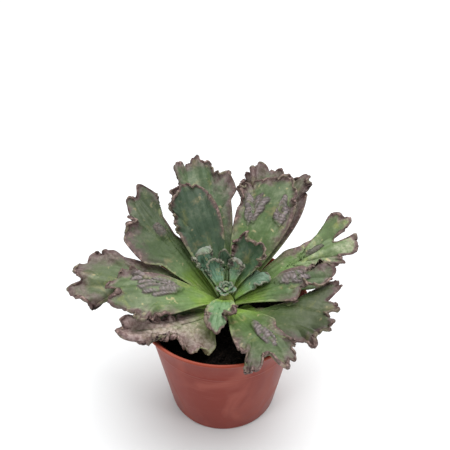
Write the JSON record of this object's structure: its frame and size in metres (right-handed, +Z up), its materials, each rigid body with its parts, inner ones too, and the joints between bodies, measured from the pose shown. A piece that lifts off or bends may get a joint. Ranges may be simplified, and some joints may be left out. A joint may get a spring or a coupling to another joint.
{
  "type": "potted echeveria",
  "caption": "Succulent rosette with wavy, ruffled grey-green leaves that carry warty ridges, growing from peat in a round tapered nursery pot.",
  "frame": {"origin": "centre of the pot's flat underside", "axes": "+Z up along the pot's axis; -Y towards the side that the picture shows; +X to its right"},
  "size_m": [0.1901, 0.159, 0.1595],
  "materials": {
    "terracotta_plastic": "satin",
    "peat": "matte",
    "stem_skin": "matte",
    "grey_green_leaf": "matte",
    "blue_green_leaf": "matte"
  },
  "bodies": {
    "root": {"pot": "terracotta_plastic", "potting_soil": "peat", "stem": "stem_skin", "leaf_01": "grey_green_leaf", "leaf_02": "grey_green_leaf", "leaf_03": "grey_green_leaf", "leaf_04": "grey_green_leaf", "leaf_05": "grey_green_leaf", "leaf_06": "grey_green_leaf", "leaf_07": "grey_green_leaf", "leaf_08": "grey_green_leaf", "leaf_09": "grey_green_leaf", "leaf_10": "grey_green_leaf", "leaf_11": "grey_green_leaf", "leaf_12": "grey_green_leaf", "leaf_13": "grey_green_leaf", "leaf_14": "grey_green_leaf", "inner_leaf_1": "blue_green_leaf", "inner_leaf_2": "blue_green_leaf", "inner_leaf_3": "blue_green_leaf", "inner_leaf_4": "blue_green_leaf", "inner_leaf_5": "blue_green_leaf", "inner_leaf_6": "blue_green_leaf", "heart": "blue_green_leaf"}
  },
  "joints": []
}
